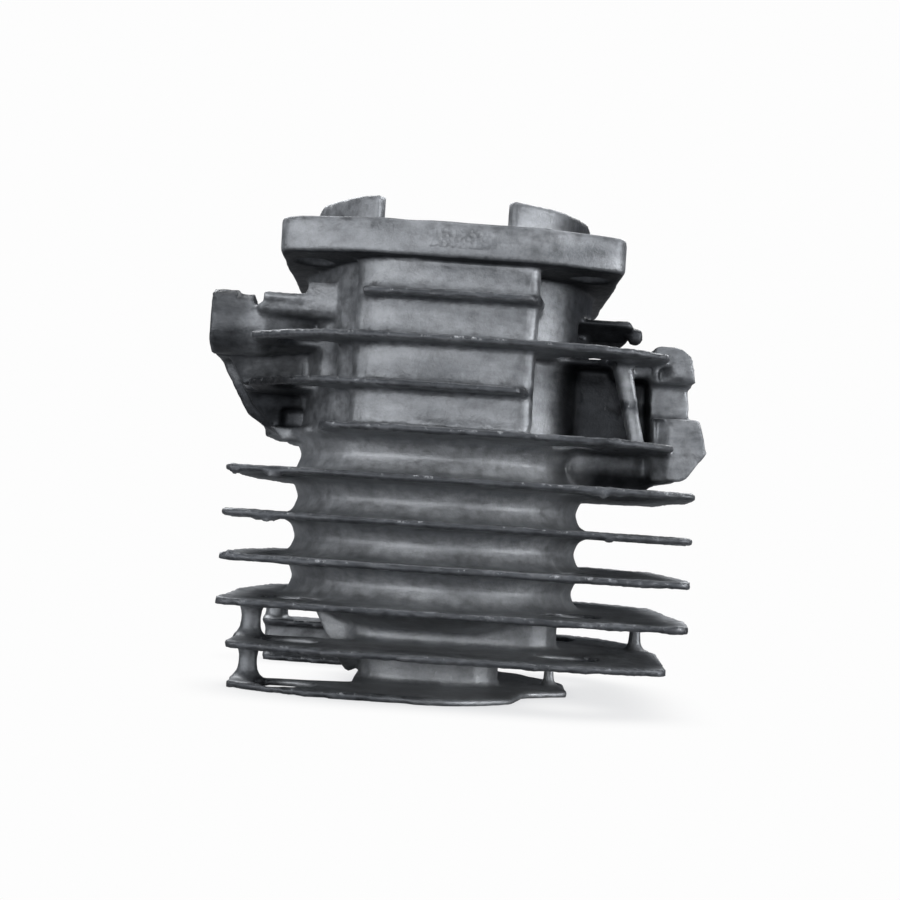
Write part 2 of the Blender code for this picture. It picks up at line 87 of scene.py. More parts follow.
def linear(code):
    """An sRGB hex colour as the linear red, green, blue and alpha that a shader takes."""
    parts = [int(code[i : i + 2], 16) / 255 for i in (1, 3, 5)]
    return [c / 12.92 if c <= 0.04045 else ((c + 0.055) / 1.055) ** 2.4 for c in parts] + [1.0]


def node(tree, kind, settings=(), links=()):
    """Add a node. Settings name its properties or inputs, and links give an input its source socket."""
    made = tree.nodes.new(kind)
    for key, value in dict(settings).items():
        if isinstance(key, str) and hasattr(made, key):
            setattr(made, key, value)
        else:
            made.inputs[key].default_value = value
    for key, source in dict(links).items():
        tree.links.new(source, made.inputs[key])
    return made


floor_mesh = bpy.data.meshes.new("floor")
floor_shape = bmesh.new()
bmesh.ops.create_grid(floor_shape, x_segments=1, y_segments=1, size=4.0)
floor_shape.to_mesh(floor_mesh)
floor_shape.free()
floor = bpy.data.objects.new("floor", floor_mesh)
bpy.context.scene.collection.objects.link(floor)

paper = bpy.data.materials.new("white_paper")
paper.use_nodes = True
tree = paper.node_tree
tree.nodes.clear()
ray = node(tree, "ShaderNodeLightPath")
matt = node(tree, "ShaderNodeBsdfDiffuse", {"Color": linear("#77787a")})
# Painted contact shadow: the camera sees the paper greyer where the part is close to it.
painted_contact_shadow = node(tree, "ShaderNodeAmbientOcclusion", {"Distance": 0.012, "samples": 8})
paper_with_painted_shadow = node(
    tree,
    "ShaderNodeMixRGB",
    {"Color1": linear("#d6d7d9"), "Color2": linear("#fdfdfd")},
    {"Fac": painted_contact_shadow.outputs["AO"]},
)
glow = node(tree, "ShaderNodeEmission", {"Strength": 1.0}, {"Color": paper_with_painted_shadow.outputs[0]})
seen = {0: ray.outputs["Is Camera Ray"], 1: matt.outputs[0], 2: glow.outputs[0]}
both = node(tree, "ShaderNodeMixShader", (), seen)
node(tree, "ShaderNodeOutputMaterial", (), {"Surface": both.outputs[0]})
floor_mesh.materials.append(paper)

world = bpy.data.worlds.new("studio")
world.use_nodes = True
tree = world.node_tree
tree.nodes.clear()
ray = node(tree, "ShaderNodeLightPath")
shade = node(
    tree,
    "ShaderNodeMixRGB",
    {"Color1": linear("#565a61"), "Color2": linear("#fdfdfd")},
    {"Fac": ray.outputs["Is Camera Ray"]},
)
sky = node(tree, "ShaderNodeBackground", {"Strength": 1.0}, {"Color": shade.outputs[0]})
node(tree, "ShaderNodeOutputWorld", (), {"Surface": sky.outputs[0]})
bpy.context.scene.world = world

part_middle = Vector((0, 0, 0.04))
for name, place, width, height, watts in (
    ("panel_front", (-0.24, -0.78, 0.06), 0.70, 0.40, 6.0),
    ("panel_left", (-0.75, -0.42, 0.12), 0.40, 0.40, 3.3),
    ("panel_right", (0.78, -0.40, 0.12), 0.45, 0.40, 8.5),
    ("panel_top", (0.05, -0.25, 0.75), 0.60, 0.60, 3.0),
    ("panel_back_left", (-0.45, 0.55, 0.70), 0.45, 0.40, 6.0),
    ("panel_back_right", (0.45, 0.55, 0.70), 0.45, 0.40, 6.0),
):
    panel = bpy.data.objects.new(name, bpy.data.lights.new(name, "AREA"))
    panel.data.shape = "RECTANGLE"
    panel.data.size, panel.data.size_y = width, height
    panel.data.energy = watts
    panel.location = place
    panel.rotation_euler = (part_middle - Vector(place)).to_track_quat("-Z", "Y").to_euler()
    bpy.context.scene.collection.objects.link(panel)

# ---- casting -------------------------------------------------------------------------------------
# Cylinder, head, fins and flanges in one pressure die casting of silicon aluminium, with a plated
# bore. The die leaves soft corners, a fine skin, flow marks, and burrs where the two halves meet.
# Shapes here are in mm from the bore axis, and each is closed, so that one skin can be drawn over all.
MM = 0.001
fin_levels = [0.6, 7.8, 14.8, 21.9, 29.0, 36.2, 44.0, 51.2, 58.8, 66.2]  # mid-planes, lowest fin first
half_fin = 0.5  # less than half a fin's 1.2 mm, so that the barrel's ends lie inside the fins
flange_base = 72.6  # just inside the crankcase flange


def loft(shape, outlines):
    """A closed solid through outlines of (x, y, z) points, each with as many points as the next."""
    rings = []
    for outline in outlines:
        rings.append([shape.verts.new((bore_x + x * MM, y * MM, z * MM)) for x, y, z in outline])
    for here, after in zip(rings, rings[1:]):
        for p in range(len(here)):
            q = (p + 1) % len(here)
            shape.faces.new((here[p], here[q], after[q], after[p]))
    shape.faces.new(rings[0][::-1])
    shape.faces.new(rings[-1])


def slab(shape, low, high):
    """A box between two corners."""
    (x0, y0, z0), (x1, y1, z1) = low, high
    loft(shape, [[(x0, y0, z), (x1, y0, z), (x1, y1, z), (x0, y1, z)] for z in (z0, z1)])


def turned(shape, profile, steps, centre=(0.0, 0.0)):
    """Turn a closed profile of (radius, height) points about an upright axis."""
    rings = []
    for k in range(steps):
        a = 2 * math.pi * k / steps
        at = [(centre[0] + r * math.cos(a), centre[1] + r * math.sin(a), z) for r, z in profile]
        rings.append([shape.verts.new((bore_x + x * MM, y * MM, z * MM)) for x, y, z in at])
    for here, after in zip(rings, rings[1:] + rings[:1]):
        for p in range(len(profile)):
            q = (p + 1) % len(profile)
            shape.faces.new((here[p], after[p], after[q], here[q]))


def strip(shape, side, x0, x1, y0, y1, z0, z1):
    """A box on the front (-1) or back (1) of the cylinder, y0 to y1 from its middle plane."""
    slab(shape, (x0, min(side * y0, side * y1), z0), (x1, max(side * y0, side * y1), z1))


def placed(name, shape):
    """Turn a shape into an object of that name, with its faces pointing out."""
    bmesh.ops.remove_doubles(shape, verts=shape.verts, dist=1e-7)
    bmesh.ops.recalc_face_normals(shape, faces=shape.faces)
    made = bpy.data.objects.new(name, bpy.data.meshes.new(name))
    shape.to_mesh(made.data)
    shape.free()
    bpy.context.scene.collection.objects.link(made)
    return made


def settle(piece):
    """Give a piece the mesh that its modifiers make, and take the modifiers off."""
    bpy.context.view_layer.update()
    made = bpy.data.meshes.new_from_object(piece.evaluated_get(bpy.context.evaluated_depsgraph_get()))
    piece.modifiers.clear()
    piece.data = made


def cut(piece, *shapes):
    """Cut closed shapes out of a piece, one after another."""
    for number, shape in enumerate(shapes):
        tool = placed(f"{piece.name}_cut_{number}", shape)
        trim = piece.modifiers.new("trim", "BOOLEAN")
        trim.operation = "DIFFERENCE"
        trim.solver = "EXACT"
        trim.object = tool
        settle(piece)
        bpy.data.objects.remove(tool, do_unlink=True)


def around(first, last, radius, steps):
    """Points on a circle about the bore axis, between two angles in degrees from the exhaust side."""
    turns = [math.radians(first + (last - first) * k / steps) for k in range(steps + 1)]
    return [(radius * math.cos(a), radius * math.sin(a)) for a in turns]


body_shape = bmesh.new()
body_shape.from_mesh(frame["nodes"]["cylinder_casting"].data)
casting = placed("cylinder_skin", body_shape)

blocks, corners, hollows = bmesh.new(), bmesh.new(), bmesh.new()
for side in (-1, 1):
    # Room for the flange screws beside the transfer passage, and the end of the intake ledge.
    strip(blocks, side, -26.5, -15.25, 20.05, 26.0, 62.9, 72.05)
    strip(blocks, side, -34.0, -31.9, 9.0, 21.0, 64.8, 67.2)
    arc = around(180 - side * 30, 180 - side * 54.1, 26.1, 8)
    room = arc + [(-15.3, side * 24.0), (-26.8, side * 24.0), (-26.8, side * 13.05)]
    loft(corners, [[(x, y, z) for x, y in room] for z in (66.85, 72.04)])
    # The waist between the exhaust flange's two lugs.
    strip(blocks, side, 34.0, 48.0, 18.2, 26.0, 49.6, 55.4)
    # The fins stop at the lugs, whose inner corners are cut back.
    strip(blocks, side, 36.8, 47.0, 23.05, 40.0, 57.9, 59.7)
    strip(blocks, side, 38.2, 47.0, 23.05, 40.0, 43.1, 44.9)
    lug_corner = [(35.8, side * 23.4), (38.6, side * 23.4), (35.8, side * 19.2)]
    for low, high in ((38.4, 43.3), (44.7, 49.5), (55.5, 58.1)):
        loft(hollows, [[(x, y, z) for x, y in lug_corner] for z in (low, high)])
    # The underside of the intake port leans in, above and below the fin that crosses it.
    for top, foot, high, low in ((9.55, 6.9, 57.6, 51.9), (6.6, 4.2, 50.5, 44.7)):
        wedge = [(side * 10.6, high), (side * top, high), (side * foot, low), (side * 10.6, low)]
        loft(hollows, [[(x, y, z) for y, z in wedge] for x in (-41.5, -25.2)])
    # The small ledge's front leans back below its lip.
    wedge = [(side * 12.0, 66.2), (side * 11.3, 66.2), (side * 6.6, 63.7), (side * 12.0, 63.7)]
    loft(hollows, [[(x, y, z) for y, z in wedge] for x in (20.0, 33.4)])
# A dent in the crankcase flange, the pocket under the intake port, and the dip in the exhaust face.
slab(blocks, (-6.9, -36.0, 74.6), (-6.2, -33.5, 79.0))
slab(blocks, (-28.9, -12.0, 44.65), (-24.4, -1.0, 48.4))
dip = [(41.7, 55.3), (42.2, 49.7), (50.0, 49.7), (50.0, 55.3)]
loft(hollows, [[(x, y, z) for x, z in dip] for y in (-18.4, 18.4)])
cut(casting, blocks, corners, hollows)

# Walls that the transfer passages need beside them, scalloped where the flange screws go down.
walls, scallops = bmesh.new(), bmesh.new()
for side in (-1, 1):
    inner = [(-9.0, 22.4), (-12.5, 20.7), (-16.0, 18.0), (-19.2, 14.6), (-22.3, 9.4)]
    lower = [(-24.9, 8.2), (-23.9, 12.0), (-21.6, 17.6), (-18.2, 22.8), (-14.2, 27.2), (-9.0, 29.6)]
    upper = [(-23.6, 11.2), (-21.3, 15.4), (-20.2, 18.2), (-18.0, 22.6), (-14.2, 27.2), (-9.0, 29.6)]
    ends = ((lower, 43.8), (upper, flange_base))
    loft(walls, [[(x, side * y, z) for x, y in inner + face] for face, z in ends])
    turned(scallops, [(0.001, 51.9), (5.2, 51.9), (5.2, 64.0), (0.001, 64.0)], 32, (-23.5, side * 21.5))
walls_object = placed("transfer_walls", walls)
cut(walls_object, scallops)


def groove(low, high, core, fillet):
    """The wall between two fins, as (radius, height) points: a round root at each fin."""
    bends = [math.radians(90 * k / 6) for k in range(7)]
    down = [(core + fillet * (1 - math.sin(a)), low + fillet * (1 - math.cos(a))) for a in bends]
    return down + [(r, low + high - z) for r, z in down[::-1]]


casting_bmesh = bmesh.new()
casting_bmesh.from_mesh(casting.data)
extra = bmesh.new()
barrel = [(23.4, fin_levels[6]), (23.4, fin_levels[2])]
for low, high in zip(fin_levels[2:6], fin_levels[3:7]):
    barrel += groove(low + half_fin, high - half_fin, 25.25, 3.0)
turned(extra, barrel, 180)

# Posts between the lowest fins, flared where they meet them.
for x, y, r, low, high in (
    (-30.2, -17.4, 1.65, 1.0, 7.4),
    (-30.2, -17.4, 1.65, 8.2, 14.4),
    (38.4, 5.5, 1.1, 8.2, 14.4),
    (22.6, 2.2, 1.0, 1.0, 7.4),
):
    half = [(0.001, low), (r * 1.9, low), (r * 1.35, low + 0.7), (r * 1.1, low + 1.6), (r, (low + high) / 2)]
    turned(extra, half + [(q, low + high - z) for q, z in half[-2::-1]], 20, (x, y))

for side in (-1, 1):
    # The tab at the top of each wall, the lip of the intake ledge, and the exhaust flange's ribs.
    strip(extra, side, -24.3, -19.9, 12.5, 20.6, 64.0, 69.0)
    strip(extra, side, -31.8, -16.5, 14.0, 20.7, 65.6, 66.9)
    # A broad round corner on the passage's intake side.
    bend = [(-15.6, 27.4), (-14.6, 29.3), (-12.4, 30.9), (-9.6, 31.9), (-6.0, 32.2)]
    ramp = bend + [(-6.0, 26.0), (-13.0, 26.0)]
    loft(extra, [[(x, side * y, z) for x, y in ramp] for z in (44.0, flange_base)])
    rib = [(29.4, 58.4), (31.2, 58.4), (34.3, 44.2), (32.5, 44.2)]
    loft(extra, [[(x, y, z) for x, z in rib] for y in (side * 17.8, side * 22.9)])
# The exhaust duct's belly comes down to the fin below it.
half_belly = [(16.0, 8.0), (24.0, 14.0), (34.0, 13.0), (38.5, 10.0)]
belly = half_belly + [(x, -y) for x, y in half_belly[::-1]]
bulge = [(0.86, 0.82, 36.9), (0.97, 0.94, 38.6), (1.0, 1.0, 40.6), (1.0, 1.0, 44.0)]
loft(extra, [[(20 + (x - 20) * a, y * b, z) for x, y in belly] for a, b, z in bulge])
# The web under the intake port, which runs down to the fin below it.
web = [(-40.7, 57.6), (-39.9, 54.8), (-35.2, 46.8), (-30.6, 43.9), (-24.0, 43.9), (-24.0, 57.6)]
loft(extra, [[(x, y, z) for x, z in web] for y in (-3.4, 3.4)])
# Burrs left where the die halves met: crumbs of metal under the fins' edges, and one stray flake.
finder = BVHTree.FromBMesh(casting_bmesh)
for x, fin, drop, size in (
    (-32.6, 36.2, -0.9, 0.50),
    (-26.6, 36.2, -0.8, 0.75),
    (-25.6, 36.2, -0.9, 0.55),
    (-28.4, 29.0, -0.8, 0.50),
    (-26.9, 29.0, -1.0, 0.60),
    (-25.6, 29.0, -0.8, 0.50),
    (29.0, 36.2, -0.7, 0.45),
    (26.2, 36.2, -0.8, 0.60),
    (24.6, 36.2, -0.8, 0.45),
    (27.5, 29.0, -0.8, 0.45),
    (-32.4, 21.9, 0.8, 0.60),
    (-14.0, 44.0, 0.7, 0.45),
):
    met = finder.ray_cast(Vector((bore_x + x * MM, -0.06, fin * MM)), Vector((0, 1, 0)))[0]
    if met:
        spot = Matrix.Translation((met.x, met.y + 0.5 * MM, (fin + drop) * MM))
        crumb = spot @ Matrix.Diagonal((1.3, 1.0, 0.8, 1))
        bmesh.ops.create_icosphere(extra, subdivisions=1, radius=size * MM, matrix=crumb)
for side in (-1, 1):
    # The die's parting line on the lower lug.
    seam = [(36.5, side * 22.0), (36.5, side * 23.25), (44.0, side * 23.25), (44.0, side * 22.0)]
    loft(extra, [[(x, y, z) for x, y in seam] for z in (43.75, 44.25)])
# The nub at the end of the small ledge.
nub = Matrix.Translation((bore_x + 33.3 * MM, -9 * MM, 64.5 * MM))
bmesh.ops.create_icosphere(extra, subdivisions=2, radius=1.45 * MM, matrix=nub)
casting_bmesh.free()
extra.from_mesh(walls_object.data)
extra.from_mesh(casting.data)
bpy.data.objects.remove(walls_object, do_unlink=True)
bpy.data.objects.remove(casting, do_unlink=True)
casting = placed("cylinder_skin", extra)

# One skin over all of it, fine enough to keep a fin's edge.
voxel = 0.45
skin = casting.modifiers.new("skin", "REMESH")
skin.mode = "VOXEL"
skin.voxel_size = voxel * MM
skin.use_smooth_shade = True
settle(casting)

# How far each point may be smoothed: the body's corners are round, the fins' edges stay thin. The
# bore is machined, so the die's flow waves stop at it.
points = np.empty(len(casting.data.vertices) * 3, np.float32)
casting.data.vertices.foreach_get("co", points)
points = points.reshape(-1, 3) / MM
from_axis = np.hypot(points[:, 0] - bore_x / MM, points[:, 1])
near_fin = np.min(np.abs(points[:, 2:3] - np.array(fin_levels)), axis=1) < 1.4
on_fin = near_fin & (from_axis > 31.5)
soft = casting.vertex_groups.new(name="soft")
soft.add(np.flatnonzero(~on_fin).tolist(), 1.0, "REPLACE")
soft.add(np.flatnonzero(on_fin).tolist(), 0.12, "REPLACE")
in_bore = (from_axis < 22.9) & (points[:, 2] > 23.0)
outer = casting.vertex_groups.new(name="outer")
outer.add(np.flatnonzero(~in_bore).tolist(), 1.0, "REPLACE")
fin_edge = casting.vertex_groups.new(name="edge")
fin_edge.add(np.flatnonzero(on_fin).tolist(), 1.0, "REPLACE")

rounding = casting.modifiers.new("rounding", "SMOOTH")
rounding.factor = 0.5
rounding.iterations = 7
rounding.vertex_group = "soft"

flow = bpy.data.textures.new("flow", "CLOUDS")
flow.noise_scale = 0.007
flow.noise_depth = 2
ripple = casting.modifiers.new("ripple", "DISPLACE")
ripple.texture = flow
ripple.texture_coords = "GLOBAL"
ripple.strength = 0.0004
ripple.mid_level = 0.5
ripple.vertex_group = "outer"

nicks = bpy.data.textures.new("nicks", "CLOUDS")
nicks.noise_scale = 0.0012
nicks.noise_depth = 2
nick = casting.modifiers.new("nicks", "DISPLACE")
nick.texture = nicks
nick.texture_coords = "GLOBAL"
nick.strength = 0.0003
nick.mid_level = 0.5
nick.vertex_group = "edge"
settle(casting)

most_triangles = 190000
triangles = sum(len(p.vertices) - 2 for p in casting.data.polygons)
fewer = casting.modifiers.new("fewer", "DECIMATE")
fewer.ratio = min(1.0, most_triangles / triangles)
settle(casting)
casting.data.shade_smooth()

# What each point of the skin belongs to, from 0 to 1: a fin's rim, that rim's upper corner, painted light on
# the barrel between the fins, painted shade under the crankcase flange, the darker intake port's mouth, and
# the plated bore.
count = len(casting.data.vertices)
points, normals = np.empty(count * 3, np.float32), np.empty(count * 3, np.float32)
casting.data.vertices.foreach_get("co", points)
casting.data.vertices.foreach_get("normal", normals)
points, normals = points.reshape(-1, 3) / MM, normals.reshape(-1, 3)
from_axis = np.hypot(points[:, 0] - bore_x / MM, points[:, 1])
from_bore, from_middle, up = points[:, 0] - bore_x / MM, np.abs(points[:, 1]), points[:, 2]
slope = normals[:, 2]
above = points[:, 2:3] - np.array(fin_levels)
above = above[np.arange(count), np.abs(above).argmin(axis=1)]
outside = np.clip((from_axis - 30.0) / 1.5, 0, 1)
outside[(from_bore > 35.5) & (from_middle < 23.6) & (up > 38)] = 0  # the exhaust flange
outside[(from_bore < -30.5) & (from_middle < 19) & (up > 44)] = 0  # the intake flange
outside[(up > 62) & (from_middle < 31)] = 0  # the ledges below the crankcase flange
rim = outside * np.clip((0.95 - np.abs(above)) / 0.15, 0, 1) * np.clip((0.85 - np.abs(slope)) / 0.2, 0, 1)
corner = rim * np.clip(1 - np.abs(above - 0.42) / 0.25, 0, 1)
# Painted light on the barrel between the fins, where the fins shade it.
painted_groove_light = np.clip((30.0 - from_axis) / 1.5, 0, 1) * (up < 43.6)
# Painted shade on the downward faces under the crankcase flange; the intake port's mouth is made darker.
under_flange = np.clip(-slope - 0.5, 0, 0.4) / 0.4 * (up > 71) * (up < 74)
intake_mouth = np.clip((-33.5 - from_bore) / 3, 0, 1) * (up > 50) * (from_middle < 19) * 0.7
painted_shade_and_dark_port = np.maximum(under_flange, intake_mouth)
plating = np.clip((22.95 - from_axis) / 0.3, 0, 1) * (up > 23.0)
traits = {"rim": rim, "corner": corner, "painted_groove_light": painted_groove_light, "painted_shade_and_dark_port": painted_shade_and_dark_port, "plating": plating}
for name, values in traits.items():
    stored = casting.data.attributes.new(name, "FLOAT", "POINT")
    stored.data.foreach_set("value", values.astype(np.float32))

# Silicon aluminium as it comes from a steel die and a tumbler: a dull mid grey with cloudy stains,
# a fine sparkling grain, and a broad soft gloss on the round parts.
cast = bpy.data.materials.new("die_cast_aluminium")
cast.use_nodes = True
tree = cast.node_tree
metal = tree.nodes["Principled BSDF"]
place = node(tree, "ShaderNodeTexCoord")
# Flow marks and handling stains some 12 mm across, a finer mottling at 2 mm, and the skin's grain,
# which is 0.1 mm on the real part and is drawn at 0.4 mm so that it shows.
level = node(tree, "ShaderNodeMapping", {"Scale": (1.0, 1.0, 3.0)}, {"Vector": place.outputs["Object"]})
here = {"Vector": place.outputs["Object"]}
cloudy = {"Scale": 85.0, "Detail": 4.0, "Roughness": 0.6}
stain = node(tree, "ShaderNodeTexNoise", cloudy, {"Vector": level.outputs[0]})
mottle = node(tree, "ShaderNodeTexNoise", {"Scale": 520.0, "Detail": 5.0, "Roughness": 0.65}, here)
grain = node(tree, "ShaderNodeTexNoise", {"Scale": 2600.0, "Detail": 3.0, "Roughness": 0.6}, here)
tone = node(tree, "ShaderNodeValToRGB", (), {"Fac": stain.outputs["Fac"]})
tone.color_ramp.elements[0].position, tone.color_ramp.elements[0].color = 0.34, linear("#6d7074")
tone.color_ramp.elements[1].position, tone.color_ramp.elements[1].color = 0.68, linear("#94979b")
specks = node(tree, "ShaderNodeValToRGB", (), {"Fac": mottle.outputs["Fac"]})
specks.color_ramp.elements[0].position, specks.color_ramp.elements[0].color = 0.35, linear("#c9c9c9")
specks.color_ramp.elements[1].position, specks.color_ramp.elements[1].color = 0.65, linear("#ffffff")
colour = node(
    tree,
    "ShaderNodeMixRGB",
    {"blend_type": "MULTIPLY", "Fac": 1.0},
    {"Color1": tone.outputs[0], "Color2": specks.outputs[0]},
)
# The skin is darker below the intake port, and painted shade darkens the hollow beside the exhaust duct and
# its belly. Each is a region bounded in x, y and z, with soft ends.
where = node(tree, "ShaderNodeSeparateXYZ", (), {0: place.outputs["Object"]})
beside = node(tree, "ShaderNodeMath", {"operation": "ABSOLUTE"}, {0: where.outputs["Y"]})


def bounded(tree, *ends):
    """The region where each (socket, faded, full) end holds: 0 at its first value and 1 at its second."""
    region = None
    for socket, faded, full in ends:
        inside = node(tree, "ShaderNodeMapRange", {1: faded, 2: full}, {0: socket})
        if region:
            both_hold = {0: region.outputs[0], 1: inside.outputs[0]}
            inside = node(tree, "ShaderNodeMath", {"operation": "MULTIPLY"}, both_hold)
        region = inside
    return region


below_port = bounded(
    tree,
    (where.outputs["X"], bore_x - 0.0190, bore_x - 0.0270),
    (where.outputs["Z"], 0.0435, 0.0450),
    (where.outputs["Z"], 0.0560, 0.0520),
)
by_duct = bounded(
    tree,
    (where.outputs["X"], bore_x + 0.0165, bore_x + 0.0215),
    (where.outputs["X"], bore_x + 0.0390, bore_x + 0.0370),
    (beside.outputs[0], 0.0190, 0.0165),
    (where.outputs["Z"], 0.0366, 0.0372),
)
over_fin = node(tree, "ShaderNodeMapRange", {1: 0.0440, 2: 0.0450}, {0: where.outputs["Z"]})
on_belly = node(tree, "ShaderNodeMapRange", {1: 0.0415, 2: 0.0395}, {0: where.outputs["Z"]})
heights = {0: over_fin.outputs[0], 1: on_belly.outputs[0]}
recess_shade_heights = node(tree, "ShaderNodeMath", {"operation": "MAXIMUM"}, heights)
painted_recess_shade = node(tree, "ShaderNodeMath", {"operation": "MULTIPLY"}, {0: by_duct.outputs[0], 1: recess_shade_heights.outputs[0]})
shade_and_dark_port_mark = node(tree, "ShaderNodeAttribute", {"attribute_name": "painted_shade_and_dark_port"})
shade_and_dark_port_inputs = {0: shade_and_dark_port_mark.outputs["Fac"], 1: below_port.outputs[0]}
shade_and_dark_port = node(tree, "ShaderNodeMath", {"operation": "MAXIMUM"}, shade_and_dark_port_inputs)
shade_and_darkening = node(tree, "ShaderNodeMath", {"operation": "MAXIMUM"}, {0: painted_recess_shade.outputs[0], 1: shade_and_dark_port.outputs[0]})
# Painted shade in the exhaust hollow and under the crankcase flange, with the darker intake port, multiplies
# the colour.
shaded_and_darkened = node(
    tree,
    "ShaderNodeMixRGB",
    {"blend_type": "MULTIPLY", "Color2": linear("#6c6e72")},
    {"Fac": shade_and_darkening.outputs[0], "Color1": colour.outputs[0]},
)
# Painted light: the barrel between the fins is lightened where the fins shade it.
groove_light_mark = node(tree, "ShaderNodeAttribute", {"attribute_name": "painted_groove_light"})
groove_lit = node(
    tree,
    "ShaderNodeMixRGB",
    {"blend_type": "ADD", "Color2": linear("#4c4d4e")},
    {"Fac": groove_light_mark.outputs["Fac"], "Color1": shaded_and_darkened.outputs[0]},
)
# Fin rims are darker, and every proud edge is lighter, partly rubbed and partly a painted highlight. The
# sharp upper corner of each rim is chipped bright in places, some 1.5 mm apart, partly chips and partly
# painted glints.
rim_mark = node(tree, "ShaderNodeAttribute", {"attribute_name": "rim"})
rimmed = node(
    tree,
    "ShaderNodeMixRGB",
    {"blend_type": "MULTIPLY", "Color2": linear("#8d8f93")},
    {"Fac": rim_mark.outputs["Fac"], "Color1": groove_lit.outputs[0]},
)
surface = node(tree, "ShaderNodeNewGeometry")
# Proud edges are lightened by Pointiness: partly rubbed metal, partly a painted highlight.
rubbed_and_highlit = node(tree, "ShaderNodeMapRange", {1: 0.53, 2: 0.72, 4: 0.32}, {0: surface.outputs["Pointiness"]})
wear_and_highlight = {"Fac": rubbed_and_highlit.outputs[0], "Color1": rimmed.outputs[0]}
worn_and_highlit = node(tree, "ShaderNodeMixRGB", {"Color2": linear("#b9bbbf")}, wear_and_highlight)
# Bright specks on each rim's upper corner: partly chipped metal, partly painted glints.
scatter = node(tree, "ShaderNodeTexNoise", {"Scale": 700.0, "Detail": 4.0, "Roughness": 0.7}, here)
spots = node(tree, "ShaderNodeMapRange", {1: 0.57, 2: 0.72}, {0: scatter.outputs["Fac"]})
corner_mark = node(tree, "ShaderNodeAttribute", {"attribute_name": "corner"})
on_corner = {0: spots.outputs[0], 1: corner_mark.outputs["Fac"]}
chips_and_glints = node(tree, "ShaderNodeMath", {"operation": "MULTIPLY"}, on_corner)
chipped_and_glinting = {"Fac": chips_and_glints.outputs[0], "Color1": worn_and_highlit.outputs[0]}
bright = node(tree, "ShaderNodeMixRGB", {"Color2": linear("#cfd2d6")}, chipped_and_glinting)
# The bore is plated with nickel and honed, so it is smoother and brighter than the casting's skin.
plating_mark = node(tree, "ShaderNodeAttribute", {"attribute_name": "plating"})
plating_over = {"Fac": plating_mark.outputs["Fac"], "Color1": bright.outputs[0]}
honed = node(tree, "ShaderNodeMixRGB", {"Color2": linear("#a3a4a6")}, plating_over)
tree.links.new(honed.outputs[0], metal.inputs["Base Color"])
rough = node(tree, "ShaderNodeMapRange", {1: 0.3, 2: 0.7, 3: 0.42, 4: 0.62}, {0: mottle.outputs["Fac"]})
smoother = {0: plating_mark.outputs["Fac"], 2: rough.outputs[0]}
sleek = node(tree, "ShaderNodeMath", {"operation": "MULTIPLY_ADD", 1: -0.14}, smoother)
tree.links.new(sleek.outputs[0], metal.inputs["Roughness"])
metal.inputs["Metallic"].default_value = 0.75
cast_texture = {0: grain.outputs["Fac"], 2: mottle.outputs["Fac"]}
height = node(tree, "ShaderNodeMath", {"operation": "MULTIPLY_ADD", 1: 0.35}, cast_texture)
# A plain stippled panel in the front of the crankcase flange, 10 mm by 3 mm, its pits 1 mm apart.
shifted = node(
    tree,
    "ShaderNodeVectorMath",
    {"operation": "SUBTRACT", 1: (bore_x + 0.0013, -0.0350, 0.0754)},
    {0: place.outputs["Object"]},
)
apart = node(tree, "ShaderNodeVectorMath", {"operation": "ABSOLUTE"}, {0: shifted.outputs[0]})
away = node(tree, "ShaderNodeSeparateXYZ", (), {0: apart.outputs[0]})
wide = node(tree, "ShaderNodeMapRange", {1: 0.0056, 2: 0.0050}, {0: away.outputs["X"]})
tall = node(tree, "ShaderNodeMapRange", {1: 0.0017, 2: 0.0013}, {0: away.outputs["Z"]})
thick = node(tree, "ShaderNodeMapRange", {1: 0.0050, 2: 0.0040}, {0: away.outputs["Y"]})
face = node(tree, "ShaderNodeMath", {"operation": "MULTIPLY"}, {0: wide.outputs[0], 1: tall.outputs[0]})
in_face = {0: face.outputs[0], 1: thick.outputs[0]}
panel_mask = node(tree, "ShaderNodeMath", {"operation": "MULTIPLY"}, in_face)
stipple = node(tree, "ShaderNodeTexVoronoi", {"Scale": 1100.0}, here)
in_panel = {0: stipple.outputs["Distance"], 1: panel_mask.outputs[0]}
pits = node(tree, "ShaderNodeMath", {"operation": "MULTIPLY"}, in_panel)
pitted = {0: pits.outputs[0], 2: height.outputs[0]}
stepped = node(tree, "ShaderNodeMath", {"operation": "MULTIPLY_ADD", 1: 1.6}, pitted)
unplated = node(tree, "ShaderNodeMapRange", {3: 1.0, 4: 0.15}, {0: plating_mark.outputs["Fac"]})
off_bore = {0: stepped.outputs[0], 1: unplated.outputs[0]}
grained = node(tree, "ShaderNodeMath", {"operation": "MULTIPLY"}, off_bore)
relief = node(tree, "ShaderNodeBump", {"Strength": 0.5, "Distance": 0.00025}, {"Height": grained.outputs[0]})
tree.links.new(relief.outputs[0], metal.inputs["Normal"])
casting.data.materials.clear()
casting.data.materials.append(cast)
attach(casting, "cylinder")
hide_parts("cylinder_casting")

